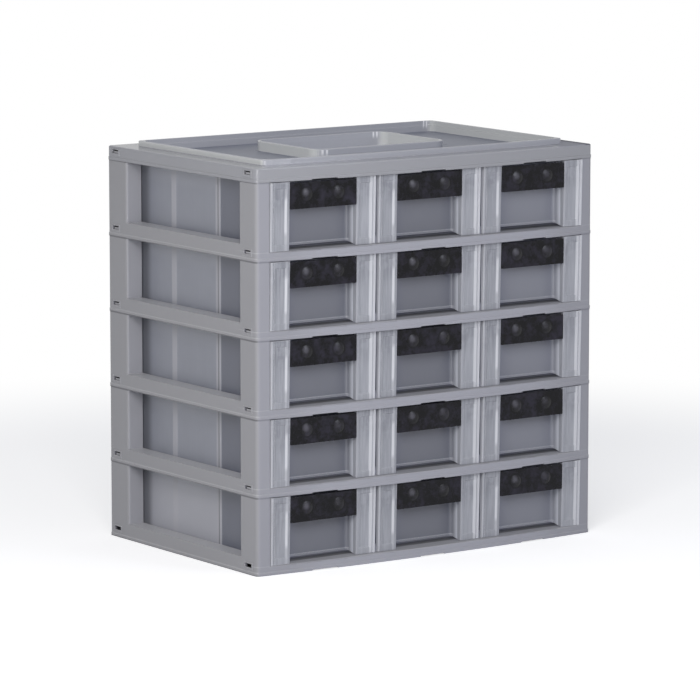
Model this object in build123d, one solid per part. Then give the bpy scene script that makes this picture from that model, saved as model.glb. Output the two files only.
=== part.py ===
from build123d import *

import os

# A stacking parts cabinet: five moulded tiers of three drawers each under a tray-topped
# cover. All sizes are millimetres. X is the width, Y the depth, and the drawers face -Y.
# The origin is on the ground, under the middle of the cabinet.

# Overall size.
overall_width = 360.0
overall_depth = 245.0
tier_count = 5
tier_pitch = 67.6
column_names = ("left", "middle", "right")

# Plan of the frame. The front edge bows forward between its two corners.
front_bow = 7.5
corner_radius = 4.5
least_radius = 0.8
frame_wall = 2.2
lip_proud = 0.4
lip_height = 2.8

# Shelf and rails of one tier, measured up from the tier's lower edge.
shelf_top = 8.0
shelf_thickness = 2.0
side_rail_height = 13.9
ledge_thickness = 2.0
shelf_edge_round = 1.2
shelf_rib_thickness = 1.6
shelf_rib_drop = 3.4
cross_rib_spacing = 60.0

# Corner posts.
post_width = 13.1
front_post_depth = 27.0
rear_post_depth = 31.5
rear_post_step = 3.1
post_inner_wall = 1.8
post_edge_round = 2.4
post_roof = 2.0

# Rear wall between the rear posts.
rear_wall_set_in = 1.2
rear_wall_thickness = 1.8
rear_rib_width = 2.4

# Snap slots in the side rails, and the hooks on the stubs that enter them.
slot_from_corner = 14.0
slot_length = 10.0
slot_height = 3.3
slot_low = 6.4
slot_border = 1.7
slot_border_top = 1.0
slot_border_low = 2.2
stub_clearance = 0.3
stub_above_hook = 1.3
hook_length = 7.6
hook_height = 1.7
hook_clearance = 0.15
hook_recess = 0.5

# Finger notch under each drawer in the lower front edge.
notch_width = 26.0
notch_height = 0.8

# Drawer trays.
drawer_gap = 3.3
side_clearance = 0.4
slide_clearance = 0.3
top_gap = 0.5
rear_clearance = 1.6
front_stand = 2.7
front_lean = 1.6
front_wall = 3.4
flange_width = 3.5
flange_depth = 2.6
tray_wall = 1.6
tray_floor = 1.6
runner_height = 2.8
tray_corner_radius = 5.0
recess_width = 69.0
recess_depth = 15.5
recess_corner_radius = 3.0
recess_foot_lip = 0.8
mouth_edge_round = 1.2

# Relief on the two towers beside the finger recess.
relief_depth = 0.8
relief_end = 5.0
relief_inner_edge = 2.5
relief_outer_edge = 3.8
relief_slope = 2.6
relief_end_slope = 1.0
groove_width = 1.2
groove_inset = 2.0

# Slots for a divider on the tray's side walls, and the divider.
divider_thickness = 1.5
divider_clearance = 0.2
divider_top_drop = 5.0
divider_corner_radius = 3.0
slot_rib_width = 2.8
slot_rib_depth = 1.8
slot_rib_drop = 2.5
divider_behind_recess = 71.5
slot_spacing = 70.0

# Black pull plate on the clear web between the towers.
web_thickness = 1.4
web_set_back = 2.6
plate_thickness = 2.0
plate_height = 22.3
plate_side_clearance = 0.3
plate_top_drop = 1.4
plate_corner_round = 0.8
dome_diameter = 11.6
dome_rise = 1.0
dome_offsets = (-17.5, 15.5)
dome_below_top = 10.2
peg_diameter = 4.0
peg_clearance = 0.15
peg_beyond_web = 0.6

# Stop peg under each tray and the slot in the shelf that it runs in.
drawer_travel = 165.0
stop_peg_width = 6.0
stop_peg_length = 8.0
stop_peg_from_rear = 14.0
stop_slot_side_clearance = 1.0
stop_clearance = 0.4
stop_peg_floor_clearance = 0.4

# Drawer guides on the shelf between neighbouring trays.
guide_height = 6.0
guide_clearance = 0.6
guide_thickness = 2.0
guide_set_back = 8.0

# Cover.
cover_skirt_height = 12.3
cover_height = 17.0
ledge_width = 19.5
rim_thickness = 2.6
rim_edge_round = 0.8
rim_step_drop = 4.2
rim_step_width = 0.7
rim_radius = 4.0
rim_inner_radius = 9.5
panel_below_rim = 10.0
panel_thickness = 2.0
well_length = 142.0
well_width = 102.0
well_corner_radius = 14.0
well_below_rim = 0.8
well_floor_rise = 1.1
well_floor_thickness = 2.0
cover_edge_round = 1.2
gate_mark_diameter = 4.0
gate_mark_depth = 0.6
gate_mark_x = 99.6
gate_mark_y = -2.8

# Places worked out from the sizes above.
half_width = overall_width / 2
rear_y = overall_depth / 2
apex_y = -overall_depth / 2
corner_y = apex_y + front_bow
side_middle_y = (corner_y + rear_y) / 2
bay_half = half_width - post_width
column_count = len(column_names)
front_width = (2 * (bay_half - side_clearance) - (column_count - 1) * drawer_gap) / column_count
drawer_pitch = front_width + drawer_gap
tray_half = front_width / 2 - flange_width
shelf_bottom = shelf_top - shelf_thickness
tray_bottom = shelf_top + slide_clearance
tray_top = tier_pitch - top_gap
floor_bottom = tray_bottom + runner_height
tray_inside_bottom = floor_bottom + tray_floor
rear_wall_outer_y = rear_y - lip_proud - rear_wall_set_in
rear_wall_inner_y = rear_wall_outer_y - rear_wall_thickness
tray_rear_y = rear_wall_inner_y - rear_clearance
tray_front_y = corner_y - front_stand
recess_half = recess_width / 2
recess_wall_y = tray_front_y + recess_depth
divider_y = recess_wall_y + divider_behind_recess
spare_slot_y = divider_y + slot_spacing
inside_front_y = tray_front_y + front_wall
web_front_y = tray_front_y + web_set_back
stop_peg_y = tray_rear_y - stop_peg_from_rear
cover_bottom = tier_count * tier_pitch
cover_top = cover_bottom + cover_height
cover_ledge = cover_bottom + cover_skirt_height
beyond = 10.0


def block(x_low, x_high, y_low, y_high, z_low, z_high):
    """A plain block between two corners."""
    size = (x_high - x_low, y_high - y_low, z_high - z_low)
    centre = ((x_low + x_high) / 2, (y_low + y_high) / 2, (z_low + z_high) / 2)
    return Pos(*centre) * Box(*size)


def plan_slab(inset, z_low, z_high, radius=None):
    """A slab with the cabinet's bowed plan, set in all round by one distance."""
    side = half_width - inset
    front = corner_y + inset
    back = rear_y - inset
    outline = Polyline((side, front), (side, back), (-side, back), (-side, front))
    outline += ThreePointArc((-side, front), (0, apex_y + inset), (side, front))
    face = make_face(outline)
    if radius is None:
        radius = max(corner_radius - inset, least_radius)
    face = fillet(face.vertices(), radius)
    return extrude(Pos(0, 0, z_low) * face, z_high - z_low)


def corner_blocks(outer_inset, inner_inset, z_low, z_high, rear_step=0.0):
    """The four corners of a plan slab, where the posts stand."""
    slab = plan_slab(outer_inset, z_low, z_high)
    inner_x = bay_half + inner_inset
    front_inner_y = corner_y + front_post_depth - inner_inset
    rear_inner_y = rear_y - rear_post_depth + inner_inset
    pieces = []
    for side in (-1, 1):
        x_low, x_high = sorted((side * inner_x, side * (half_width + beyond)))
        front = block(x_low, x_high, apex_y - beyond, front_inner_y, z_low, z_high)
        x_low, x_high = sorted((side * (inner_x - rear_step), side * (half_width + beyond)))
        rear = block(x_low, x_high, rear_inner_y, rear_y + beyond, z_low, z_high)
        pieces += [slab & front, slab & rear]
    return pieces


def column_centre(column):
    """X of a drawer column's middle."""
    return (column - (column_count - 1) / 2) * drawer_pitch


def slot_places():
    """Side and Y of each snap slot."""
    front = corner_y + slot_from_corner
    rear = rear_y - slot_from_corner
    return [(side, y) for side in (-1, 1) for y in (front, rear)]


def cut_slots(body, base):
    """Snap slots through the side rails, each in a slightly raised border."""
    face_x = half_width - lip_proud
    for side, y in slot_places():
        border_half = slot_length / 2 + slot_border
        x_low, x_high = sorted((side * (face_x - frame_wall / 2), side * half_width))
        low = base + slot_low
        border = block(x_low, x_high, y - border_half, y + border_half,
                       low - slot_border_low, low + slot_height + slot_border_top)
        body += border
    for side, y in slot_places():
        low = base + slot_low
        x_low, x_high = sorted((side * (face_x - frame_wall), side * (half_width + beyond)))
        body -= block(x_low, x_high, y - slot_length / 2, y + slot_length / 2,
                      low, low + slot_height)
    return body


def cut_notches(body, base):
    """Shallow notches in the lower front edge, one under each drawer."""
    for column in range(column_count):
        x = column_centre(column)
        body -= block(x - notch_width / 2, x + notch_width / 2, apex_y - beyond,
                      corner_y + frame_wall, base - beyond, base + notch_height)
    return body


def rails_and_shelf():
    """Lip, rails, side ledges and the shelf that carries three drawers."""
    body = plan_slab(0, 0, lip_height) + plan_slab(lip_proud, lip_height, side_rail_height)
    wall_inset = lip_proud + frame_wall
    body -= plan_slab(wall_inset, -beyond, shelf_bottom)
    ledge_bottom = side_rail_height - ledge_thickness
    for side in (-1, 1):
        x_low, x_high = sorted((side * (bay_half + post_inner_wall), side * half_width))
        hollow = block(x_low, x_high, apex_y, rear_y, 0, ledge_bottom)
        body -= plan_slab(wall_inset, 0, ledge_bottom) & hollow
    body -= block(-bay_half, bay_half, apex_y - beyond, rear_wall_inner_y,
                  shelf_top, side_rail_height + beyond)
    body -= block(-bay_half, bay_half, rear_wall_outer_y, rear_y + beyond,
                  shelf_top, side_rail_height + beyond)
    front_edge = body.edges().filter_by(GeomType.CIRCLE).filter_by_position(
        Axis.Z, shelf_top - 0.01, shelf_top + 0.01).sort_by(Axis.Y)[0]
    return fillet(front_edge, shelf_edge_round)


def shelf_ribs():
    """Stiffening ribs under the shelf, along X and along Y."""
    low = shelf_bottom - shelf_rib_drop
    half = shelf_rib_thickness / 2
    side = bay_half - beyond
    inset = lip_proud + frame_wall
    ribs = []
    for row in (-1, 0, 1):
        y = row * cross_rib_spacing
        ribs.append(block(-side, side, y - half, y + half, low, shelf_bottom))
    for gap in (-1, 1):
        x = gap * drawer_pitch / 2
        ribs.append(block(x - half, x + half, apex_y, rear_y, low, shelf_bottom))
    inner = plan_slab(inset, low, shelf_bottom)
    return [rib & inner for rib in ribs]


def drawer_guides():
    """Low guides on the shelf, one along each side of every tray."""
    front = tray_front_y + guide_set_back
    reach = tray_half + guide_clearance
    guides = []
    for column in range(column_count):
        for side in (-1, 1):
            near = column_centre(column) + side * reach
            outermost = abs(near) > half_width - drawer_pitch / 2
            far = side * (bay_half + post_inner_wall) if outermost else near + side * guide_thickness
            x_low, x_high = sorted((near, far))
            top = side_rail_height if outermost else shelf_top + guide_height
            guides.append(block(x_low, x_high, front, rear_wall_inner_y, shelf_bottom, top))
    return guides


def rear_wall():
    """Closed rear wall with upright ribs level with the posts."""
    x = bay_half + post_inner_wall
    wall = block(-x, x, rear_wall_inner_y, rear_wall_outer_y, shelf_bottom, tier_pitch)
    face_y = rear_y - lip_proud
    for gap in range(column_count + 1):
        rib_x = (gap - column_count / 2) * drawer_pitch
        wall += block(rib_x - rear_rib_width / 2, rib_x + rear_rib_width / 2,
                      rear_wall_outer_y, face_y, shelf_bottom, tier_pitch)
    return wall


def posts():
    """Four hollow corner posts, soft-edged towards the side window."""
    pieces = corner_blocks(lip_proud, 0, side_rail_height, tier_pitch, rear_post_step)
    rounded = []
    for post in pieces:
        upright = post.edges().filter_by(Axis.Z)
        outer = upright.filter_by(lambda edge: abs(edge.center().X) > half_width - lip_proud - 0.01)
        window = outer.sort_by(lambda edge: abs(edge.center().Y))[0]
        rounded.append(fillet(window, post_edge_round))
    return rounded


def stubs_and_hooks():
    """Stubs on the post tops that enter the tier above, each with a snap hook."""
    inset = lip_proud + frame_wall + stub_clearance
    inner = post_inner_wall + stub_clearance
    hook_low = tier_pitch + slot_low + hook_clearance
    stub_top = hook_low + hook_height + stub_above_hook
    pieces = corner_blocks(inset, inner, tier_pitch, stub_top)
    for side, y in slot_places():
        x_low, x_high = sorted((side * (half_width - inset - frame_wall),
                                side * (half_width - lip_proud - hook_recess)))
        front = y - slot_length / 2 + hook_clearance
        pieces.append(block(x_low, x_high, front, front + hook_length,
                            hook_low, hook_low + hook_height))
    return pieces


def cut_stop_slots(body):
    """Slots in the shelf in which the trays' stop pegs run."""
    half = stop_peg_width / 2 + stop_slot_side_clearance
    rear = stop_peg_y + stop_peg_length / 2 + stop_clearance
    front = stop_peg_y - stop_peg_length / 2 - drawer_travel - stop_clearance
    for column in range(column_count):
        x = column_centre(column)
        body -= block(x - half, x + half, front, rear, shelf_bottom, shelf_top + beyond)
    return body


def tier_frame():
    """One tier's frame at the height of the lowest tier."""
    body = rails_and_shelf()
    for piece in posts():
        body += piece
    body += rear_wall()
    inset = lip_proud + frame_wall
    cavity_top = tier_pitch - post_roof
    cavities = corner_blocks(inset, post_inner_wall, 0, cavity_top)
    cavities += corner_blocks(inset, post_inner_wall, side_rail_height, cavity_top, rear_post_step)
    for cavity in cavities:
        body -= cavity
    for piece in stubs_and_hooks() + shelf_ribs() + drawer_guides():
        body += piece
    body = cut_stop_slots(body)
    body = cut_slots(body, 0)
    return cut_notches(body, 0)


def front_y(z):
    """Y of the leaning drawer front at a height above the tier's lower edge."""
    return tray_front_y + front_lean * (tray_top - z) / (tray_top - tray_bottom)


def front_slab(x_low, x_high, z_low, z_high, depth):
    """Everything ahead of the leaning front and down to one depth behind it."""
    points = [(front_y(z_low) + depth, z_low), (front_y(z_high) + depth, z_high),
              (tray_front_y - beyond, z_high), (tray_front_y - beyond, z_low)]
    face = make_face(Polyline(*points, close=True))
    return extrude(Plane.YZ.offset(x_low) * face, x_high - x_low)


def front_outline(x_low, x_high, z_low, z_high, depth):
    """A four-sided outline parallel to the leaning front, at one depth behind it."""
    corners = [(x_low, z_low), (x_high, z_low), (x_high, z_high), (x_low, z_high)]
    points = [(x, front_y(z) + depth, z) for x, z in corners]
    return make_face(Polyline(*points, close=True))


def sunk_panel(x_low, x_high, z_low, z_high):
    """A shallow recess in the leaning front, with sloping sides and ends."""
    outlines = []
    for share in (-1, 1):
        side = share * relief_slope
        end = share * relief_end_slope
        outlines.append(front_outline(x_low + side, x_high - side, z_low + end, z_high - end,
                                      share * relief_depth))
    return loft(outlines, ruled=True)


def recess_slab(half, wall_y, radius, z_low, z_high):
    """A slab with the plan of the finger recess, round at its two rear corners."""
    face = Pos(0, wall_y - (wall_y - tray_front_y + beyond) / 2) * Rectangle(
        2 * half, wall_y - tray_front_y + beyond)
    rear_corners = face.vertices().sort_by(Axis.Y)[-2:]
    face = fillet(rear_corners, radius)
    return extrude(Pos(0, 0, z_low) * face, z_high - z_low)


def tray_shell():
    """Open tray with hollow towers either side of the finger recess."""
    outer = block(-tray_half, tray_half, tray_front_y, tray_rear_y, tray_bottom, tray_top)
    rear_edges = outer.edges().filter_by(Axis.Z).sort_by(Axis.Y)[-2:]
    outer = fillet(rear_edges, tray_corner_radius)
    inside_half = tray_half - tray_wall
    inner = block(-inside_half, inside_half, inside_front_y, tray_rear_y - tray_wall,
                  tray_inside_bottom, tray_top + beyond)
    inner_edges = inner.edges().filter_by(Axis.Z).sort_by(Axis.Y)[-2:]
    inner = fillet(inner_edges, tray_corner_radius - tray_wall)
    jacket = recess_slab(recess_half + tray_wall, recess_wall_y + tray_wall,
                         recess_corner_radius + tray_wall, tray_bottom, tray_top)
    jacket &= block(-tray_half, tray_half, tray_front_y, tray_rear_y, tray_bottom, tray_top)
    tray = outer - inner + jacket
    tray -= recess_slab(recess_half, recess_wall_y, recess_corner_radius,
                        tray_inside_bottom, tray_top + beyond)
    tray -= recess_slab(recess_half, recess_wall_y - recess_foot_lip, recess_corner_radius,
                        tray_bottom - beyond, tray_inside_bottom)
    for side in (-1, 1):
        x_low, x_high = sorted((side * (tray_half - tray_wall), side * front_width / 2))
        tray += block(x_low, x_high, tray_front_y, tray_front_y + flange_depth + front_lean,
                      tray_bottom, tray_top)
    return tray - under_floor()


def under_floor():
    """Room under the tray's floor, which leaves the side walls' feet to run on."""
    front = tray_front_y + front_lean + tray_wall
    rear = tray_rear_y - tray_corner_radius
    points = [(front, tray_bottom), (recess_wall_y, floor_bottom), (rear, floor_bottom),
              (rear, tray_bottom - beyond), (front, tray_bottom - beyond)]
    face = make_face(Polyline(*points, close=True))
    half = tray_half - tray_wall
    return extrude(Plane.YZ.offset(-half) * face, 2 * half)


def round_mouth(tray):
    """Round the towers' edges along the mouth of the finger recess."""
    front_limit = tray_front_y + front_lean
    mouth = tray.edges().filter_by(
        lambda edge: abs(abs(edge.center().X) - recess_half) < 0.01
        and edge.center().Y < front_limit and edge.length > plate_height)
    return fillet(mouth, mouth_edge_round)


def tower_relief(tray):
    """Shallow panel and groove on the front of both towers, and the lean of the front."""
    tray -= front_slab(-front_width, front_width, tray_bottom - beyond, tray_top + beyond, 0)
    for side in (-1, 1):
        inner = side * (recess_half + relief_inner_edge)
        outer = side * (front_width / 2 - relief_outer_edge)
        x_low, x_high = sorted((inner, outer))
        tray -= sunk_panel(x_low, x_high, tray_bottom + relief_end, tray_top - relief_end)
        edge = side * (front_width / 2 - groove_inset)
        x_low, x_high = sorted((edge, edge - side * groove_width))
        tray -= front_slab(x_low, x_high, tray_bottom, tray_top, relief_depth)
    return tray


def slot_ribs(y):
    """Two pairs of upright ribs that hold a divider against the side walls."""
    half_gap = divider_thickness / 2 + divider_clearance
    inside = tray_half - tray_wall
    ribs = []
    for side in (-1, 1):
        x_low, x_high = sorted((side * (inside - slot_rib_depth), side * (inside + tray_wall / 2)))
        for face in (-1, 1):
            y_low, y_high = sorted((y + face * half_gap, y + face * (half_gap + slot_rib_width)))
            ribs.append(block(x_low, x_high, y_low, y_high, floor_bottom + tray_floor / 2,
                              tray_top - slot_rib_drop))
    return ribs


def peg_places():
    """X and Z of the plate's two pegs."""
    z = tray_top - plate_top_drop - dome_below_top
    return [(x, z) for x in dome_offsets]


def rod_along_y(x, z, diameter, y_low, y_high):
    """A round rod that runs along Y."""
    rod = Cylinder(diameter / 2, y_high - y_low)
    return Pos(x, (y_low + y_high) / 2, z) * Rot(90, 0, 0) * rod


def pull_web():
    """Clear web between the towers, with a hole for each peg of the pull plate."""
    half = recess_half + tray_wall / 2
    top = tray_top - plate_top_drop
    web = block(-half, half, web_front_y, web_front_y + web_thickness, top - plate_height, top)
    for x, z in peg_places():
        web -= rod_along_y(x, z, peg_diameter + 2 * peg_clearance, web_front_y - 1,
                           web_front_y + web_thickness + 1)
    return web


def stop_peg():
    """Peg under the tray's rear end that runs in the shelf's slot."""
    half = stop_peg_width / 2
    low = shelf_bottom + stop_peg_floor_clearance
    return block(-half, half, stop_peg_y - stop_peg_length / 2,
                 stop_peg_y + stop_peg_length / 2, low, floor_bottom + tray_floor / 2)


def drawer_tray():
    """One clear drawer tray in the lowest tier, on the cabinet's middle line."""
    tray = round_mouth(tower_relief(tray_shell()))
    tray += pull_web()
    for rib in slot_ribs(divider_y) + slot_ribs(spare_slot_y):
        tray += rib
    return tray + stop_peg()


def pull_plate():
    """Black plate with two low domes in front and two pegs behind."""
    half = recess_half - plate_side_clearance
    top = tray_top - plate_top_drop
    face_y = web_front_y - plate_thickness
    plate = block(-half, half, face_y, web_front_y, top - plate_height, top)
    plate = fillet(plate.edges().filter_by(Axis.Y), plate_corner_round)
    dome_radius = dome_diameter / 2
    ball_radius = (dome_radius ** 2 + dome_rise ** 2) / (2 * dome_rise)
    for x, z in peg_places():
        ball = Pos(x, face_y - dome_rise + ball_radius, z) * Sphere(ball_radius)
        cap = ball & block(x - dome_diameter, x + dome_diameter, face_y - beyond,
                           face_y + plate_thickness / 2, z - dome_diameter, z + dome_diameter)
        plate += cap
        plate += rod_along_y(x, z, peg_diameter, face_y + plate_thickness / 2,
                             web_front_y + web_thickness + peg_beyond_web)
    return plate


def drawer_divider():
    """Clear divider that stands in the forward slots on the tray's floor."""
    half = tray_half - tray_wall - divider_clearance
    plate = block(-half, half, divider_y - divider_thickness / 2,
                  divider_y + divider_thickness / 2, tray_inside_bottom,
                  tray_top - divider_top_drop)
    top_corners = plate.edges().filter_by(Axis.Y).sort_by(Axis.Z)[-2:]
    return fillet(top_corners, divider_corner_radius)


def rounded_top(body, height, radius):
    """Round every edge of a body that lies at one height."""
    edges = body.edges().filter_by_position(Axis.Z, height - 0.01, height + 0.01)
    return fillet(edges, radius)


def cover_skirt():
    """Skirt and ledge of the cover, open below."""
    skirt = plan_slab(lip_proud, cover_bottom + lip_height, cover_ledge)
    skirt = rounded_top(skirt, cover_ledge, cover_edge_round)
    skirt += plan_slab(0, cover_bottom, cover_bottom + lip_height)
    inside = plan_slab(lip_proud + frame_wall, cover_bottom, cover_ledge - ledge_thickness)
    skirt -= inside
    inner_inset = ledge_width + rim_thickness / 2
    return skirt - plan_slab(inner_inset, cover_bottom, cover_top, rim_radius)


def cover_rim():
    """Raised rim round the top and the sunk panel inside it."""
    panel_top = cover_top - panel_below_rim
    panel_bottom = panel_top - panel_thickness
    rim = plan_slab(ledge_width, panel_bottom, cover_top, rim_radius)
    rim = rounded_top(rim, cover_top, rim_edge_round)
    upper = ledge_width + rim_thickness
    lower = upper + rim_step_width
    rim -= plan_slab(upper, cover_top - rim_step_drop, cover_top + beyond, rim_inner_radius)
    rim -= plan_slab(lower, panel_top, cover_top + beyond, rim_inner_radius)
    return rim


def rounded_box(length, width, radius, z_low, z_high):
    """A slab with a rounded rectangle for its plan, centred on the well."""
    face = fillet(Rectangle(length, width).vertices(), radius)
    return extrude(Pos(0, side_middle_y, z_low) * face, z_high - z_low)


def top_cover():
    """Cover with a sunk panel and a deeper well in the middle."""
    cover = cover_skirt() + cover_rim()
    well_top = cover_top - well_below_rim
    floor_bottom = cover_bottom - top_gap + well_floor_rise
    ring = rounded_box(well_length, well_width, well_corner_radius, floor_bottom, well_top)
    cover += rounded_top(ring, well_top, rim_edge_round)
    cover -= rounded_box(well_length - 2 * rim_thickness, well_width - 2 * rim_thickness,
                         well_corner_radius - rim_thickness,
                         floor_bottom + well_floor_thickness, well_top + beyond)
    panel_top = cover_top - panel_below_rim
    mark = Cylinder(gate_mark_diameter / 2, 2 * gate_mark_depth)
    cover -= Pos(gate_mark_x, gate_mark_y, panel_top) * mark
    cover = cut_slots(cover, cover_bottom)
    return cut_notches(cover, cover_bottom)


def write(name, body):
    """Write one piece under its own name."""
    solids = body.solids()
    piece = solids[0] if len(solids) == 1 else Compound(children=solids)
    export_step(piece, os.path.join("parts", name + ".step"))


def main():
    os.makedirs("parts", exist_ok=True)
    frame = tier_frame()
    tray = drawer_tray()
    plate = pull_plate()
    divider = drawer_divider()
    for tier in range(tier_count):
        rise = tier * tier_pitch
        write(f"tier_frame_{tier + 1}", Pos(0, 0, rise) * frame)
        for column, column_name in enumerate(column_names):
            place = Pos(column_centre(column), 0, rise)
            label = f"{tier + 1}_{column_name}"
            write(f"drawer_tray_{label}", place * tray)
            write(f"pull_plate_{label}", place * plate)
            write(f"drawer_divider_{label}", place * divider)
    write("top_cover", top_cover())


main()
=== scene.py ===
# %% [markdown]
# A parts cabinet of five stacked tiers: grey moulded frames, hazy clear drawers and black
# pull plates. The construction comes packed as a fixed frame of 51 nodes, so every shape is
# there already. Here each node gets its finish, and the photograph's camera and light are
# set round it. Loading comes first, because every later number is measured on the nodes.

# %% Load the frame
import math

import bpy
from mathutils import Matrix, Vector


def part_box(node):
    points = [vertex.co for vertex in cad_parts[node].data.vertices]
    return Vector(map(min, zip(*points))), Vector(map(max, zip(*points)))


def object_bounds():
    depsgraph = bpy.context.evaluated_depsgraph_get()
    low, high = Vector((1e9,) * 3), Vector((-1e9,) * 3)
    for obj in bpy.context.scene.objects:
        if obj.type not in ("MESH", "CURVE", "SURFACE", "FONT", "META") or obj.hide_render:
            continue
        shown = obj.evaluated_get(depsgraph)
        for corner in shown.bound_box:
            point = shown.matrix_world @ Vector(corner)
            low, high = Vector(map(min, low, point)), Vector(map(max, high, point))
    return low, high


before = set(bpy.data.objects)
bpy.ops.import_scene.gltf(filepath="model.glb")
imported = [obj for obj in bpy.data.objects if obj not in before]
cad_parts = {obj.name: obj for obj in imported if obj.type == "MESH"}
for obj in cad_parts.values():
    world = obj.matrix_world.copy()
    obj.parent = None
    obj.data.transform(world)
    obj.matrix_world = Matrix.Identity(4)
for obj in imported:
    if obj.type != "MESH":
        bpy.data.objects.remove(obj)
cad_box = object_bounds()
cabinet_low, cabinet_high = cad_box
MM = 0.001
print("cabinet box", [round(value, 4) for value in (*cabinet_low, *cabinet_high)])

# %% [markdown]
# The cabinet is a grid: tiers one pitch apart, and drawers one pitch apart across. Finishes
# that belong to one drawer need its own middle, so both pitches are read from the nodes
# themselves. A pattern then repeats from drawer to drawer as the mouldings do.

# %% Measure the grid of drawers
tier_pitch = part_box("tier_frame_2")[0].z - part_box("tier_frame_1")[0].z
middle_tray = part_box("drawer_tray_1_middle")
drawer_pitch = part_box("drawer_tray_1_right")[0].x - middle_tray[0].x
drawer_front = middle_tray[0].y
plate_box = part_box("pull_plate_1_middle")
recess_half = plate_box[1].x
plate_foot = plate_box[0].z
divider_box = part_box("drawer_divider_1_middle")
divider_y = (divider_box[0].y + divider_box[1].y) / 2
cover_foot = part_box("top_cover")[0].z
print("pitches", round(tier_pitch, 4), round(drawer_pitch, 4), "divider", round(divider_y, 4))

# %% [markdown]
# The camera stands where the photograph's did. Its bearing, height and distance come from
# straight edges of known length in the photograph, and the long lens keeps the verticals
# almost parallel. The lens is written for a sensor 36 mm wide, and the aim point lies near
# the cabinet's middle, so no shift is needed.

# %% Camera
CAMERA_BEARING = math.radians(35.0132)
CAMERA_RISE = math.radians(8.5083)
CAMERA_DISTANCE = 4070.979 * MM
CAMERA_TARGET = Vector((-2.6799, 0.0, 166.8737)) * MM
SENSOR_WIDTH = 36.0
FOCAL_LENGTH = 234.952
FARTHEST_SEEN = 100.0

forward = Vector((
    math.sin(CAMERA_BEARING) * math.cos(CAMERA_RISE),
    math.cos(CAMERA_BEARING) * math.cos(CAMERA_RISE),
    -math.sin(CAMERA_RISE),
))
camera_data = bpy.data.cameras.new("photo_camera")
camera_data.sensor_width = SENSOR_WIDTH
camera_data.lens = FOCAL_LENGTH
camera_data.clip_end = FARTHEST_SEEN
camera = bpy.data.objects.new("photo_camera", camera_data)
bpy.context.scene.collection.objects.link(camera)
camera.location = CAMERA_TARGET - forward * CAMERA_DISTANCE
camera.rotation_mode = "QUATERNION"
camera.rotation_quaternion = forward.to_track_quat("-Z", "Y")
bpy.context.scene.camera = camera
print("camera at", [round(value, 3) for value in camera.location])

# %% [markdown]
# Numbers that change over a surface are worked out by nodes, and chains of Math nodes are
# hard to read. This small class wraps one socket, so that + - * on it add the nodes. A
# band is 1 between two limits and 0 outside them, which is how one part of a surface is
# picked out.

# %% A socket on which sums add nodes
class Value:
    """One output socket of a finish, on which sums add Math nodes."""

    def __init__(self, finish, socket):
        self.finish = finish
        self.socket = socket

    def math(self, operation, *others):
        return self.finish.node("ShaderNodeMath", {"operation": operation}, (self, *others))

    def __add__(self, other):
        return self.math("ADD", other)

    def __mul__(self, other):
        return self.math("MULTIPLY", other)

    def __sub__(self, other):
        return self.math("SUBTRACT", other)

    def __rsub__(self, other):
        return self.finish.node("ShaderNodeMath", {"operation": "SUBTRACT"}, (other, self))

    def between(self, low, high):
        """0 at low, 1 at high, with a soft start and end. High may be the smaller."""
        settings = {"interpolation_type": "SMOOTHSTEP"}
        return self.finish.node("ShaderNodeMapRange", settings, (self, low, high, 0.0, 1.0))

    def band(self, low, high, soft):
        """1 from low to high, falling to 0 over a soft margin outside them."""
        return self.between(low - soft, low) * self.between(high + soft, high)


print("sums and bands are ready")

# %% [markdown]
# Every finish is built by one class, so that the materials below read as lists of what is
# on the surface. One method adds any node, sets it up and joins its inputs. The others
# give what each finish needs: places on the cabinet, clouds, layers and shaders. A layer
# lays one colour over another, and the number beside its mask says how much it covers.

# %% A class that builds one finish
MIX_FACTOR, MIX_BELOW, MIX_ABOVE, MIX_RESULT = 0, 6, 7, 2


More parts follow.
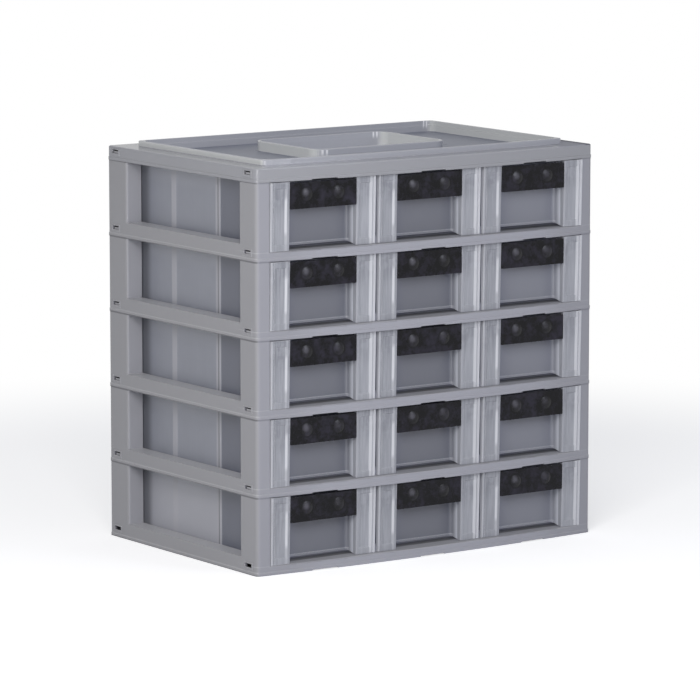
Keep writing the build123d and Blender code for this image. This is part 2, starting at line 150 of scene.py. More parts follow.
class Finish:
    """A node tree of a material or a world, built node by node."""

    def __init__(self, owner):
        owner.use_nodes = True
        self.owner = owner
        self.tree = owner.node_tree
        self.tree.nodes.clear()

    def node(self, kind, settings=None, inputs=(), output=0):
        """Adds a node, sets it up, then gives its sockets values or links."""
        made = self.tree.nodes.new(kind)
        for name, value in (settings or {}).items():
            setattr(made, name, value)
        named = inputs.items() if isinstance(inputs, dict) else enumerate(inputs)
        for key, value in named:
            if isinstance(value, Value):
                self.tree.links.new(value.socket, made.inputs[key])
            else:
                made.inputs[key].default_value = value
        return Value(self, made.outputs[output]) if made.outputs else None

    def place(self):
        """Object coordinates, which are metres in the cabinet's own frame."""
        return self.node("ShaderNodeTexCoord", output="Object")

    def axes(self):
        """The same coordinates as three separate numbers."""
        parts = self.node("ShaderNodeSeparateXYZ", None, (self.place(),))
        return [Value(self, parts.socket.node.outputs[axis]) for axis in range(3)]

    def repeat(self, value, low, high):
        """A coordinate that starts again at low each time it reaches high."""
        return self.node("ShaderNodeMath", {"operation": "WRAP"}, (value, high, low))

    def noise(self, scale, detail=3.0, stretch=(1.0, 1.0, 1.0), roughness=0.5):
        """Cloudy values about one half, drawn out along an axis by a small stretch."""
        mapped = self.node("ShaderNodeMapping", None, {"Vector": self.place(), "Scale": stretch})
        inputs = {"Vector": mapped, "Scale": scale, "Detail": detail, "Roughness": roughness}
        return self.node("ShaderNodeTexNoise", None, inputs)

    def layer(self, below, mask, colour):
        """One colour laid over another where the mask is 1."""
        settings = {"data_type": "RGBA", "clamp_factor": True}
        inputs = {MIX_FACTOR: mask, MIX_BELOW: below, MIX_ABOVE: colour}
        return self.node("ShaderNodeMix", settings, inputs, output=MIX_RESULT)

    def surface(self, **inputs):
        """A Principled shader."""
        named = {key.replace("_", " "): value for key, value in inputs.items()}
        return self.node("ShaderNodeBsdfPrincipled", None, named)

    def blend(self, factor, first, second):
        """Two shaders mixed."""
        return self.node("ShaderNodeMixShader", None, (factor, first, second))

    def close(self, shader, output="ShaderNodeOutputMaterial"):
        """Joins the last shader to the output, and gives back the material or world."""
        self.node(output, None, {"Surface": shader})
        return self.owner


def new_finish(name):
    return Finish(bpy.data.materials.new(name))


def shade(red, green, blue):
    """A colour given as it looks on a screen, from 0 to 255."""
    def linear(value):
        value = value / 255
        return value / 12.92 if value <= 0.04045 else ((value + 0.055) / 1.055) ** 2.4
    return (linear(red), linear(green), linear(blue), 1.0)


print("a middle grey is", [round(value, 3) for value in shade(128, 128, 128)])

# %% [markdown]
# Mouldings show their edges: light catches on the small rounds that a mould leaves, and the
# grey and clear finishes paint that light as a highlight on the edges. The imported corners
# are sharp, so a Bevel node rounds the surface's direction there. Where that direction leaves
# the true one, there is an edge. The true direction also says which way a face looks, and it
# doesn't change with the camera.

# %% Edges, directions and relief
BEVEL_SAMPLES = 6
EDGE_GAIN = 3.0
LEFT, FRONT, UP = (-1.0, 0.0, 0.0), (0.0, -1.0, 0.0), (0.0, 0.0, 1.0)


def rounded(skin, radius):
    """The surface's direction, with corners rounded over a small radius."""
    return skin.node("ShaderNodeBevel", {"samples": BEVEL_SAMPLES}, {"Radius": radius})


def agreement(skin, direction, other):
    """The cosine between two directions."""
    return skin.node("ShaderNodeVectorMath", {"operation": "DOT_PRODUCT"}, (direction, other),
                     output="Value")


def true_direction(skin):
    """The direction of the face itself, before any rounding."""
    return skin.node("ShaderNodeNewGeometry", output="True Normal")


def edges(skin, radius):
    """1 on corners sharper than the radius and 0 on open faces."""
    return (1.0 - agreement(skin, rounded(skin, radius), true_direction(skin))) * EDGE_GAIN


def facing(skin, direction, none=0.5, full=0.9):
    """1 where the surface faces a direction. The cosines say where it starts and is full."""
    return agreement(skin, true_direction(skin), direction).between(none, full)


def relief(skin, height, distance, strength, radius):
    """A surface direction from a height between 0 and 1, over rounded corners."""
    return skin.node("ShaderNodeBump", None, {
        "Strength": strength, "Distance": distance, "Height": height,
        "Normal": rounded(skin, radius)})


print("a face that is full on is within", round(math.degrees(math.acos(0.9))), "degrees")

# %% [markdown]
# The frames are moulded in a satin grey plastic. It isn't one flat grey: it drifts a little
# where the melt flowed, its edges carry a painted highlight, and it has a fine moulded grain.
# The grain is a bump too small to see as relief, which only breaks up the reflections.

# %% Drifting grey with painted edge highlights and a fine grain
EDGE_HIGHLIGHT = 0.8 * MM
DRIFT_SCALE = 9.0
FLOW_SCALE = 160.0
FLOW_STRETCH = (1.0, 1.0, 0.04)
GRAIN_SCALE = 2600.0
GRAIN_HEIGHT = 0.05 * MM


def drifting_grey(skin, colour, deep, pale):
    """The moulded grey of a skin with painted highlights on its edges, and the drift that also
    varies its roughness.
    """
    drift = skin.noise(DRIFT_SCALE, detail=2.0)
    flow = skin.noise(FLOW_SCALE, detail=2.0, stretch=FLOW_STRETCH)
    body = skin.layer(deep, drift * 0.7 + flow * 0.3, colour)
    return skin.layer(body, edges(skin, EDGE_HIGHLIGHT), pale), drift


def moulded_grain(skin, strength, radius):
    return relief(skin, skin.noise(GRAIN_SCALE, detail=2.0), GRAIN_HEIGHT, strength, radius)


print("grain", GRAIN_HEIGHT / MM, "mm high")

# %% [markdown]
# Where two tiers meet, a fine line of painted shade lies between them, deepest at the posts,
# and a painted highlight runs along the lip just above it. Near both ends of each side rail
# is a snap slot, and it is dark inside, because nothing lights the hollow behind it. Both
# follow the height within one tier, so the height starts again at each tier, and one finish
# serves all six mouldings.

# %% Seams and snap slots
SEAM = 1.0 * MM
SEAM_FROM = 160.0 * MM
SEAM_DARK = shade(74, 74, 80)
LIP_LOW, LIP_HIGH = 2.5 * MM, 3.3 * MM
SLOT_LOW, SLOT_HIGH = 6.4 * MM, 9.7 * MM
SLOT_SOFT = 0.4 * MM
FRONT_SLOT = (-106.4 * MM, -95.6 * MM)
REAR_SLOT = (103.1 * MM, 113.9 * MM)
POST_FROM = 150.0 * MM
SLOT_DARK = shade(20, 20, 23)


def seams(skin, body, pale):
    """Painted shade in the line between two mouldings, and a painted highlight on the lip above
    it.
    """
    x, _, z = skin.axes()
    rise = skin.repeat(z, 0.0, tier_pitch)
    seam = rise.between(tier_pitch - SEAM, tier_pitch - SEAM / 2) + rise.between(SEAM, SEAM / 2)
    at_posts = x.math("ABSOLUTE").between(SEAM_FROM, SEAM_FROM + 6.0 * MM)
    # Painted shade in the seam, deepest at the posts, then a painted highlight on the lip.
    body = skin.layer(body, seam * (at_posts * 0.5 + 0.15), SEAM_DARK)
    return skin.layer(body, rise.band(LIP_LOW, LIP_HIGH, 0.5 * MM) * 0.35, pale)


def snap_slots(skin, body):
    """Darkness in the slots, only on what lies behind the cabinet's side faces."""
    x, y, z = skin.axes()
    out = x.math("ABSOLUTE")
    rise = skin.repeat(z, 0.0, tier_pitch)
    behind_face = out.between(cabinet_high.x - 0.95 * MM, cabinet_high.x - 1.2 * MM)
    in_post = out.between(POST_FROM, POST_FROM + 2.0 * MM)
    in_post = in_post * rise.between(SLOT_LOW, SLOT_LOW - SLOT_SOFT)
    level = (rise.band(SLOT_LOW, SLOT_HIGH, SLOT_SOFT) + in_post).math("MINIMUM", 1.0)
    along = y.band(*FRONT_SLOT, SLOT_SOFT) + y.band(*REAR_SLOT, SLOT_SOFT)
    return skin.layer(body, behind_face * level * along, SLOT_DARK)


def moulded_grey(skin, colour, deep, pale):
    """What both grey mouldings share: the grey, its seams and its slots."""
    body, drift = drifting_grey(skin, colour, deep, pale)
    return snap_slots(skin, seams(skin, body, pale)), drift


print("slots rise", round(SLOT_LOW / MM, 1), "to", round(SLOT_HIGH / MM, 1), "mm in each tier")

# %% [markdown]
# Light collects on three places of each frame: the ledge below a window, the return of the
# rear post, and the front of the shelf. The front faces take a cooler light than the sides,
# and the rails are lit palest in the middle. Soft boxes can't reach all of these at once, so
# each place has a thin layer of painted light of its own.

# %% Grey of the tier frames
LEDGE_LEVEL = 13.9 * MM
WINDOW_ENDS = (-88.0 * MM, 91.0 * MM)
PANE_FROM = 163.2 * MM
SHELF_LEVEL = 8.0 * MM
SHELF_PALE_FROM, SHELF_PALE_TO = -80.0 * MM, -104.0 * MM
RAIL_CLEAR, RAIL_TOP = 14.0 * MM, 10.0 * MM
RAIL_ENDS, RAIL_MIDDLE = 150.0 * MM, 110.0 * MM


def lit_ledges(skin, body):
    """Painted light on the window ledges and rear returns, behind the plane of the sides."""
    x, y, z = skin.axes()
    out = x.math("ABSOLUTE")
    rise = skin.repeat(z, 0.0, tier_pitch)
    behind_side = out.between(cabinet_high.x - 0.6 * MM, cabinet_high.x - 1.2 * MM)
    ledge = rise.band(LEDGE_LEVEL - 0.3 * MM, LEDGE_LEVEL + 0.3 * MM, 0.2 * MM)
    ledge = ledge * y.band(*WINDOW_ENDS, 0.3 * MM)
    body = skin.layer(body, behind_side * ledge, shade(190, 190, 194))
    rear = y.band(WINDOW_ENDS[1] - 0.3 * MM, WINDOW_ENDS[1] + 0.3 * MM, 0.2 * MM)
    rear = rear * out.between(PANE_FROM, PANE_FROM + 0.4 * MM)
    return skin.layer(body, behind_side * rear * 0.7, shade(186, 186, 188))


def lit_front(skin, body):
    """Painted light: a paler front of each shelf, a cooler light on the front faces, and the
    rails paler in the middle.
    """
    x, y, z = skin.axes()
    rise = skin.repeat(z, 0.0, tier_pitch)
    shelf = rise.band(SHELF_LEVEL - 0.4 * MM, SHELF_LEVEL + 0.1 * MM, 0.2 * MM)
    shelf = shelf * y.between(SHELF_PALE_FROM, SHELF_PALE_TO)
    body = skin.layer(body, shelf * 0.25, shade(216, 216, 222))
    front = facing(skin, FRONT, 0.6, 0.95)
    body = skin.layer(body, front * 0.6, shade(145, 146, 157))
    rail = front * rise.between(RAIL_CLEAR, RAIL_TOP)
    rail = rail * x.math("ABSOLUTE").between(RAIL_ENDS, RAIL_MIDDLE)
    return skin.layer(body, rail * 0.6, shade(160, 161, 171))


def frame_plastic():
    skin = new_finish("frame_grey_satin")
    # The third grey is the painted highlight on the edges and lips.
    greys = shade(150, 150, 154), shade(143, 143, 148), shade(186, 186, 190)
    body, drift = moulded_grey(skin, *greys)
    body = lit_front(skin, lit_ledges(skin, body))
    normal = moulded_grain(skin, 0.35, 0.5 * MM)
    return skin.close(skin.surface(Base_Color=body, Roughness=drift * 0.12 + 0.38, Normal=normal))


frame_grey = frame_plastic()
print("made", frame_grey.name)

# %% [markdown]
# The cover is the same plastic, but its rims are polished and its sunk panel is not. The
# panel also carries a bluer, darker painted shade, and the floor of the well a pale painted
# light. All of this goes by height and by plan: the panel lies below the rims, and the well
# is a rectangle in its middle. So the masks of these places come first.

# %% Where the parts of the cover lie
SKIRT_HEIGHT = 12.3 * MM
PANEL_BELOW_TOP = 10.0 * MM
PANEL_HALF = 157.6 * MM
PANEL_ENDS = (-100.0 * MM, 100.0 * MM)
RIM_OUTSIDE = 160.6 * MM
FRONT_LEDGE_FROM, FRONT_LEDGE_TO = -96.0 * MM, -98.0 * MM
WELL_SIDES = (-68.6 * MM, 68.6 * MM)
WELL_ENDS = (-44.9 * MM, 52.4 * MM)
ledge_level = cover_foot + SKIRT_HEIGHT
panel_top = cabinet_high.z - PANEL_BELOW_TOP


class CoverPlaces:
    """Masks for the parts of the cover."""

    def __init__(self, skin):
        x, y, z = skin.axes()
        self.skirt = z.between(ledge_level - 0.2 * MM, ledge_level - 1.2 * MM)
        inside = x.band(-PANEL_HALF, PANEL_HALF, 0.5 * MM) * y.band(*PANEL_ENDS, 0.5 * MM)
        above_panel = z.between(panel_top + 0.2 * MM, panel_top + 0.6 * MM)
        above_ledge = z.between(ledge_level + 0.2 * MM, ledge_level + 0.6 * MM)
        well = x.band(*WELL_SIDES, 0.3 * MM) * y.band(*WELL_ENDS, 0.3 * MM)
        self.raised = (above_panel * inside).math("MAXIMUM", above_ledge).math("MAXIMUM", well)
        self.sunk = (1.0 - above_panel) * inside * (1.0 - well)
        self.well_floor = well * z.between(cover_foot + 4.0 * MM, cover_foot + 3.0 * MM)
        self.upper = z.between(cabinet_high.z - 8.0 * MM, cabinet_high.z - 3.0 * MM)
        ledge = z.band(ledge_level - 0.8 * MM, ledge_level + 0.1 * MM, 0.1 * MM)
        ledge = ledge * facing(skin, UP, 0.2, 0.5)
        self.right_ledge = ledge * x.between(RIM_OUTSIDE - 26.0 * MM, RIM_OUTSIDE - 12.0 * MM)
        self.far_edge = ledge * x.between(RIM_OUTSIDE + 9.0 * MM, RIM_OUTSIDE + 13.0 * MM)
        front_ledge = ledge * y.between(FRONT_LEDGE_FROM, FRONT_LEDGE_TO)
        self.front_ledge = front_ledge * (1.0 - self.right_ledge)


print("ledge", round(ledge_level, 4), "panel", round(panel_top, 4))

# %% [markdown]
# The skirt is painted a darker shade than the faces above it. The raised walls carry a paler
# painted light, most of all those that face the key light on the left. The ledge round the rim
# is painted lighter along its front, and darker to the right, where it turns from that light,
# darkest along its far edge. The rim and the well have rounded inner corners, and each keeps
# two short painted glints where its bend faces a lamp. They are small painted layers that
# fade below the upper edge.

# %% Grey of the cover
GLINT_BEARINGS = (10, 27)
GLINT_FROM, GLINT_FULL = 0.995, 0.999


def glints(skin, place, body):
    """Painted glints: short bright lines down the inner corners, each where the bend has one
    bearing.
    """
    for bearing in GLINT_BEARINGS:
        toward = (-math.sin(math.radians(bearing)), -math.cos(math.radians(bearing)), 0.0)
        painted_glint = facing(skin, toward, GLINT_FROM, GLINT_FULL)
        body = skin.layer(body, place.raised * painted_glint * place.upper * 0.6, shade(248, 248, 252))
    return body


def cover_plastic():
    skin = new_finish("cover_grey_satin")
    place = CoverPlaces(skin)
    # The third grey is the painted highlight on the edges and lips.
    greys = shade(160, 161, 168), shade(152, 153, 161), shade(200, 201, 206)
    body, drift = moulded_grey(skin, *greys)
    # Painted shade on the skirt, and painted light on the raised walls, most on those facing
    # left.
    body = skin.layer(body, place.skirt * 0.85, shade(144, 145, 151))
    body = skin.layer(body, place.raised * 0.7, shade(172, 174, 183))
    body = skin.layer(body, place.raised * facing(skin, LEFT) * 0.85, shade(212, 214, 213))
    # Painted light on the front ledge, and painted shade on the right ledge, darkest on its far
    # edge.
    body = skin.layer(body, place.front_ledge * 0.3, shade(172, 173, 180))
    body = skin.layer(body, place.right_ledge * 0.9, shade(152, 153, 163))
    body = skin.layer(body, place.far_edge * 0.9, shade(84, 85, 98))
    # Painted shade on the sunk panel, and painted light on the floor of the well.
    body = skin.layer(body, place.sunk * 0.85, shade(134, 138, 153))
    body = skin.layer(body, place.well_floor * 0.9, shade(236, 237, 242))
    body = glints(skin, place, body)
    roughness = drift * 0.1 + 0.14 + place.sunk * 0.3 + place.right_ledge * 0.5
    normal = moulded_grain(skin, 0.25, 0.6 * MM)
    return skin.close(skin.surface(Base_Color=body, Roughness=roughness, Normal=normal))


cover_grey = cover_plastic()
print("made", cover_grey.name)

# %% [markdown]
# The drawers are hazy clear plastic. Thin walls let some light through, and thick or
# doubled places look milky. So the finish is a clear shader and a milky one, and a mask
# says how milky each place is. The masks use the distance from the drawer's own middle,
# which repeats at each pitch across and up.

# %% Where the parts of a drawer lie
RECESS_BACK = drawer_front + 15.5 * MM
SPARE_SLOT_Y = divider_y + 70.0 * MM
SLOT_HALF = 3.6 * MM
WALL_FROM = 46.5 * MM


class DrawerPlaces:
    """Coordinates within one drawer, and masks for its parts."""

    def __init__(self, skin):
        self.x, self.y, self.tall = skin.axes()
        self.across = skin.repeat(self.x, -drawer_pitch / 2, drawer_pitch / 2)
        self.aside = self.across.math("ABSOLUTE")
        self.up = skin.repeat(self.tall, 0.0, tier_pitch)
        self.wall = self.aside.between(WALL_FROM - 0.5 * MM, WALL_FROM)
        self.front = self.y.between(drawer_front + 7.0 * MM, drawer_front + 4.5 * MM)
        outside = self.aside.between(recess_half - 1.0 * MM, recess_half - 0.2 * MM)
        self.tower = self.front * outside
        near_recess = self.aside.between(recess_half + 2.2 * MM, recess_half + 1.6 * MM)
        self.recess = near_recess * self.y.between(RECESS_BACK + 3.0 * MM, RECESS_BACK + 1.8 * MM)
        self.lit_side = self.y.between(RECESS_BACK, drawer_front + 5.0 * MM)


print("recess back at", round(RECESS_BACK, 4), "spare slot at", round(SPARE_SLOT_Y, 4))

# %% [markdown]
# Two hollow towers stand beside each finger recess. Their outer slopes and edges catch the
# light in thin upright lines, which are painted highlights, and a painted shade lies in the
# thin groove between them. Their fronts are duller and streaked by the mould's polish,
# clouded above the plate's foot and given a paler painted light below it, with a little
# painted shade on the left tower. Upright bands across the drawer's width give the lines, and
# long thin noise gives the streaks.

# %% Colours of the two towers
TOWER_BRIGHT = shade(236, 237, 242)
LEFT_EDGE = (-54.6 * MM, -52.4 * MM)
RIGHT_EDGE = (52.2 * MM, 54.6 * MM)
RIGHT_SLOPE = (48.4 * MM, 50.6 * MM)
LEFT_SLOPE = (-39.4 * MM, -37.8 * MM)
SLOPE_LIT = (26.0 * MM, 50.0 * MM)
TOWER_GROOVE = (51.4 * MM, 52.0 * MM)


def tower_fronts(skin, place, body):
    """The duller fronts: painted light below the plate's foot, painted shade on the left tower,
    streaked, and clouded above it.
    """
    below_plate = place.up.between(plate_foot + 12.0 * MM, plate_foot - 10.0 * MM)
    on_left = place.across.between(-30.0 * MM, -36.0 * MM)
    streaks = skin.noise(700.0, detail=3.0, stretch=(1.0, 1.0, 0.05)).between(0.4, 0.66)
    cloud = skin.noise(110.0, detail=5.0, roughness=0.65).between(0.46, 0.62)
    clouded = cloud * (1.0 - below_plate)
    body = skin.layer(body, place.tower, shade(140, 142, 151))
    # Painted light below the plate's foot, and a little painted shade on the left tower.
    body = skin.layer(body, place.tower * below_plate * 0.6, shade(172, 174, 182))
    body = skin.layer(body, place.tower * on_left * 0.2, shade(120, 122, 132))
    body = skin.layer(body, place.tower * streaks * 0.35, shade(186, 188, 195))
    return skin.layer(body, place.tower * clouded * 0.35, shade(178, 180, 188))


def tower_lines(skin, place, body):
    """Painted highlights in upright lines on the edges and slopes, and painted shade in a thin
    groove between them.
    """
    left_slope = place.across.band(*LEFT_SLOPE, 0.6 * MM)
    bright = (place.across.band(*LEFT_EDGE, 0.8 * MM) * 0.3
              + place.across.band(*RIGHT_EDGE, 0.4 * MM) * 0.5
              + place.across.band(*RIGHT_SLOPE, 0.6 * MM) * 0.5
              + left_slope * 0.2
              + left_slope * place.up.band(*SLOPE_LIT, 6.0 * MM) * 0.4)
    body = skin.layer(body, place.tower * bright, TOWER_BRIGHT)
    groove = place.aside.band(*TOWER_GROOVE, 0.3 * MM)
    return skin.layer(body, place.tower * groove * 0.5, shade(128, 131, 142))


print("towers start", round(recess_half / MM, 1), "mm from a drawer's middle")

# %% [markdown]
# Through the side windows a drawer's wall shows its two divider slots as pale bands, the
# divider as a thin line in the forward one, and a painted shade over the compartment ahead
# of it. The wall carries a painted light upwards and a painted shade towards the rear post.
# The recess carries a painted shade on its back, a paler painted light in the right-hand
# column of drawers, a painted highlight along its foot, and painted light on its sides
# towards the front. All of it is plain bands along the drawer.

# %% Colours of the walls and the recess
REAR_SHADE_FROM, REAR_SHADE_FULL = 74.0 * MM, 86.0 * MM
WALL_PALES_FROM, WALL_PALES_TO = 48.0 * MM, 66.0 * MM
RIGHT_COLUMN_FROM, RIGHT_COLUMN_FULL = 60.0 * MM, 110.0 * MM
RECESS_FOOT_TOP, RECESS_FOOT = 13.6 * MM, 12.8 * MM


def wall_colours(skin, place, body):
    """Side walls as the windows show them: slot bands, divider line, painted shade ahead and at
    the rear, painted light upwards.
    """
    y = place.y
    # Painted light towards the top of the wall.
    pale = place.up.between(WALL_PALES_FROM, WALL_PALES_TO)
    body = skin.layer(body, place.wall * pale * 0.45, shade(206, 208, 216))
    # Painted shade over the compartment ahead of the divider.
    ahead = y.between(divider_y - SLOT_HALF, divider_y - SLOT_HALF - 0.8 * MM)
    body = skin.layer(body, place.wall * ahead * (1.0 - place.front), shade(118, 121, 134))
    # Painted shade towards the rear post.
    rear = y.between(REAR_SHADE_FROM, REAR_SHADE_FULL)
    body = skin.layer(body, place.wall * rear * 0.8, shade(92, 94, 102))
    for slot_y in (divider_y, SPARE_SLOT_Y):
        slot = y.band(slot_y - SLOT_HALF, slot_y + SLOT_HALF, 0.6 * MM)
        body = skin.layer(body, place.wall * slot * 0.8, shade(186, 186, 192))
    line = y.band(divider_y - 0.5 * MM, divider_y + 0.5 * MM, 0.5 * MM)
    return skin.layer(body, place.wall * line, shade(122, 123, 130))


def recess_colours(skin, place, body):
    """The recess: painted shade on its back, painted light in the right-hand column, a painted
    highlight at its foot, and painted light on its sides.
    """
    # Painted shade on the back of the recess, and a paler painted light in the right-hand column.
    body = skin.layer(body, place.recess, shade(113, 115, 125))
    right_column = place.x.between(RIGHT_COLUMN_FROM, RIGHT_COLUMN_FULL)
    body = skin.layer(body, place.recess * right_column * 0.3, shade(168, 170, 182))
    # A painted highlight along the foot, then painted light on the sides towards the front.
    foot = place.up.between(RECESS_FOOT_TOP, RECESS_FOOT)
    body = skin.layer(body, place.recess * foot * 0.25, shade(168, 170, 180))
    sides = place.recess * place.lit_side * (1.0 - place.front)
    return skin.layer(body, sides, shade(216, 219, 228))


print("compartment ahead of", round((divider_y - SLOT_HALF) / MM, 1), "mm")

# %% [markdown]
# A clear body alone would be too dark where the milky parts are, and a milky one alone
# would hide the shelf and the plate behind it, so the two are mixed. Real clear plastic
# also lets most of the light through to what lies under it, which a plain shadow ray
# wouldn't. So shadow rays meet a Transparent shader instead of the plastic.

# %% Hazy clear plastic of the drawers
REFRACTION = 1.49
CLEAR_EDGE_HIGHLIGHT = 0.6 * MM


def hazy_plastic(name, milkiness):
    skin = new_finish(name)
    place = DrawerPlaces(skin)
    cloud = skin.noise(60.0, detail=3.0)
    streaks = skin.noise(900.0, detail=2.0, stretch=(1.0, 1.0, 0.03))
    body = skin.layer(shade(150, 153, 164), cloud * 0.6 + streaks * 0.4, shade(166, 169, 179))
    # A paler painted light on the drawers of the lowest tier.
    lowest = place.tall.between(tier_pitch, tier_pitch - 8.0 * MM)
    body = skin.layer(body, lowest * 0.6, shade(196, 196, 202))
    body = wall_colours(skin, place, body)
    body = recess_colours(skin, place, body)
    body = tower_lines(skin, place, tower_fronts(skin, place, body))
    # Painted highlights on the edges of the clear plastic.
    body = skin.layer(body, edges(skin, CLEAR_EDGE_HIGHLIGHT) * 0.6, shade(240, 241, 246))
    shared = {"Base_Color": body, "Roughness": cloud * 0.1 + 0.28, "IOR": REFRACTION,
              "Normal": relief(skin, cloud, 0.4 * MM, 0.15, 0.4 * MM)}
    clear = skin.surface(Transmission_Weight=0.85, **shared)
    milky = skin.surface(Transmission_Weight=0.12, **shared)
    share = place.tower * 0.35 + place.recess * 0.4 + milkiness
    let_through = skin.node("ShaderNodeBsdfTransparent", None, {"Color": shade(244, 245, 250)})
    to_lamp = skin.node("ShaderNodeLightPath", output="Is Shadow Ray")
    return skin.close(skin.blend(to_lamp, skin.blend(share, clear, milky), let_through))


tray_clear = hazy_plastic("tray_hazy_clear", 0.6)
divider_clear = hazy_plastic("divider_hazy_clear", 0.35)
print("made", tray_clear.name, divider_clear.name)

# %% [markdown]
# The pull plates are black, with a grey dust that lies in clouds and wears off at the
# edges. The dust is rougher than the plastic, so the plates' shine is broken too. Each
# plate has two low domes: a painted ring of shade lies round each, a painted highlight
# sits up to the left of each, and a thin clear coat gives them a soft shine.

# %% Black plastic of the pull plates
DOMES = ((-17.5 * MM, 0.75), (15.5 * MM, 0.3))  # each one's place across, and the strength of its painted highlight
DOME_LEVEL = 55.5 * MM
DOME_REACH = 5.8 * MM
HIGHLIGHT_LEFT, HIGHLIGHT_UP = 1.4 * MM, 1.6 * MM
HIGHLIGHT_REACH, HIGHLIGHT_FULL = 4.6 * MM, 0.6 * MM


def distance_to(place, across, up):
    """How far a point of the plate is from a spot on it."""
    aside = place.across - across
    above = place.up - up
    return (aside * aside + above * above).math("SQRT")


def black_plastic(name):
    skin = new_finish(name)
    place = DrawerPlaces(skin)
    dust = skin.noise(90.0, detail=7.0, roughness=0.72).between(0.42, 0.68)
    body = skin.layer(shade(1, 1, 6), dust, shade(36, 34, 46))
    body = skin.layer(body, edges(skin, 0.6 * MM) * 0.5, shade(78, 76, 84))
    domes = 0.0
    for across, highlight_share in DOMES:
        reach = distance_to(place, across, DOME_LEVEL)
        domes = reach.between(DOME_REACH, DOME_REACH - 0.6 * MM) + domes
        ring = reach.band(DOME_REACH, DOME_REACH + 0.8 * MM, 0.8 * MM)
        # Painted shade in a ring round the dome.
        body = skin.layer(body, ring * 0.6, shade(3, 3, 6))
        # A painted highlight up to the left of the dome.
        spot = distance_to(place, across - HIGHLIGHT_LEFT, DOME_LEVEL + HIGHLIGHT_UP)
        body = skin.layer(body, spot.between(HIGHLIGHT_REACH, HIGHLIGHT_FULL) * highlight_share, shade(84, 83, 92))
    normal = relief(skin, skin.noise(1400.0, detail=3.0), 0.06 * MM, 0.4, 0.4 * MM)
    shader = skin.surface(Base_Color=body, Roughness=dust * 0.16 + 0.26, Normal=normal,
                          Specular_IOR_Level=0.22, Coat_Weight=domes * 0.14, Coat_Roughness=0.26)
    return skin.close(shader)


plate_black = black_plastic("plate_dusty_black")
print("made", plate_black.name)

# %% [markdown]
# The finishes are laid on by assigning material slots, which changes no shape. Each node's
# name begins with the kind of piece it is, so that name picks its finish.

# %% Give every node its finish
finishes = (("tier_frame", frame_grey), ("top_cover", cover_grey), ("drawer_tray", tray_clear),
            ("drawer_divider", divider_clear), ("pull_plate", plate_black))
for node_name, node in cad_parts.items():
    finish = next(material for start, material in finishes if node_name.startswith(start))
    for material_slot in node.material_slots:
        material_slot.material = finish
print("finished", len(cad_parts), "nodes")

# %% [markdown]
# The photograph has a pure white ground. A plain floor takes the cabinet's shadow, and what
# the camera, mirrors and glass see of it is lifted, and fades to white a little way off.
# Beneath the cabinet nothing is lifted, so the hollows that the lowest snap slots look into
# stay dark. The light that the floor gives the cabinet is that of a plain pale floor.

# %% Floor
FLOOR_SIZE = 30.0
FLOOR_CLEAR_FROM = 0.55
FLOOR_CLEAR_TO = 1.0
FLOOR_LIFT = 0.5
FLOOR_PALE = (0.86, 0.86, 0.87, 1.0)
BENEATH_SIDES = (-170.0 * MM, 170.0 * MM)
BENEATH_ENDS = (-110.0 * MM, 112.0 * MM)
RAYS_THAT_SEE = ("Is Camera Ray", "Is Glossy Ray", "Is Transmission Ray")


def seen_directly(skin):
    """1 for rays of the camera, of mirrors and of glass, and 0 for rays that light."""
    paths = [skin.node("ShaderNodeLightPath", output=output) for output in RAYS_THAT_SEE]
    return paths[0].math("MAXIMUM", paths[1]).math("MAXIMUM", paths[2])


def backdrop_finish():
    skin = new_finish("backdrop_white")
    away = skin.node("ShaderNodeVectorMath", {"operation": "LENGTH"}, (skin.place(),),
                     output="Value")
    lit = skin.node("ShaderNodeBsdfDiffuse", None, {"Color": FLOOR_PALE})
    lift = skin.node("ShaderNodeEmission", None, {"Strength": FLOOR_LIFT})
    lifted = skin.node("ShaderNodeAddShader", None, (lit, lift))
    white = skin.node("ShaderNodeEmission", None, {"Strength": 1.0})
    shown = skin.blend(away.between(FLOOR_CLEAR_FROM, FLOOR_CLEAR_TO), lifted, white)
    open_floor = skin.blend(seen_directly(skin), lit, shown)
    x, y, _ = skin.axes()
    beneath = x.band(*BENEATH_SIDES, 3.0 * MM) * y.band(*BENEATH_ENDS, 3.0 * MM)
    return skin.close(skin.blend(beneath, open_floor, lit))


bpy.ops.mesh.primitive_plane_add(size=FLOOR_SIZE)
floor = bpy.context.object
floor.name = "floor"
floor.data.materials.append(backdrop_finish())
print("floor spans", round(floor.dimensions.x, 1), "m")

# %% [markdown]
# The world does the same: it lights the cabinet with a soft cool sky, and it is white for
# the rays that see it.

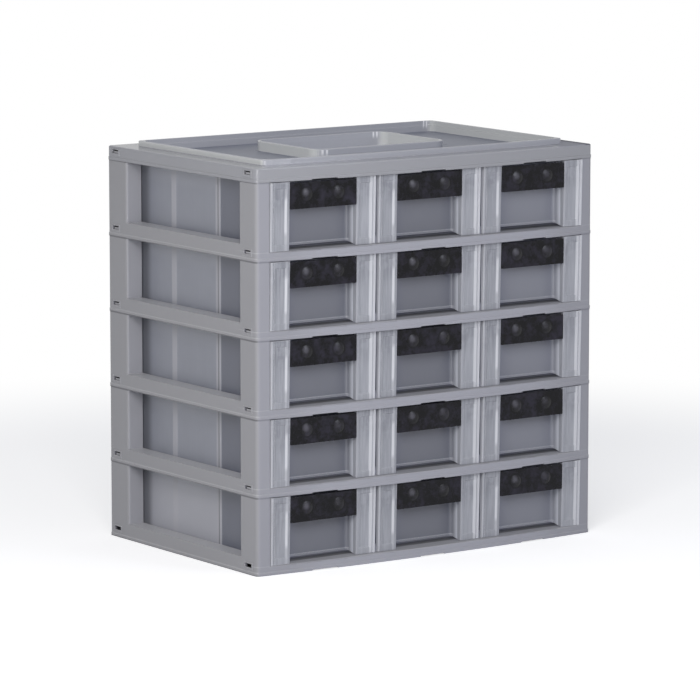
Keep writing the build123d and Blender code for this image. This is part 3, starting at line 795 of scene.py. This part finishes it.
# %% World
SKY_COLOUR = (0.93, 0.95, 1.0, 1.0)
SKY_STRENGTH = 0.36

sky = Finish(bpy.data.worlds.new("studio"))
bpy.context.scene.world = sky.owner
ambient = sky.node("ShaderNodeBackground", None, {"Color": SKY_COLOUR, "Strength": SKY_STRENGTH})
white_sky = sky.node("ShaderNodeBackground", None, {"Strength": 1.0})
sky.close(sky.blend(seen_directly(sky), ambient, white_sky), "ShaderNodeOutputWorld")
print("world", bpy.context.scene.world.name)

# %% [markdown]
# Three soft boxes do most of the lighting. A warm key stands to the left, so the side that
# faces it is neutral. A cool fill stands a little right of the front, and lights the
# drawers. A small low one on the left puts the glints on the clear edges. All are closer to
# the near corner than to the far ends, so the cabinet darkens towards its rear and right.

# %% Lamps
LAMPS = (  # name, bearing, rise, distance, size, power, colour
    ("key_left", 42, 22, 1.5, 0.6, 10.3, (1.0, 0.985, 0.96)),
    ("front_fill", -18, 18, 1.7, 0.45, 3.5, (0.86, 0.9, 1.0)),
    ("rim_glint", 50, -2, 1.5, 0.18, 2.2, (1.0, 1.0, 1.0)),
)


def soft_lamp(name, bearing, rise, distance, size, power, colour):
    """An area lamp aimed at the cabinet's middle from a bearing and a height."""
    data = bpy.data.lights.new(name, "AREA")
    data.shape = "SQUARE"
    data.size = size
    data.energy = power
    data.color = colour
    lamp = bpy.data.objects.new(name, data)
    bpy.context.scene.collection.objects.link(lamp)
    bearing, rise = math.radians(bearing), math.radians(rise)
    middle = (cabinet_low + cabinet_high) / 2
    back = Vector((-math.sin(bearing) * math.cos(rise), -math.cos(bearing) * math.cos(rise),
                   math.sin(rise)))
    lamp.location = middle + back * distance
    lamp.rotation_mode = "QUATERNION"
    lamp.rotation_quaternion = (-back).to_track_quat("-Z", "Y")
    return lamp


for settings in LAMPS:
    print("lamp", soft_lamp(*settings).name)

# %% [markdown]
# A colour should render about as it is written, so the view transform is the plain one. The
# other view settings keep their defaults, and so does the exposure.

# %% View transform
bpy.context.scene.view_settings.view_transform = "Standard"
print("view transform", bpy.context.scene.view_settings.view_transform)
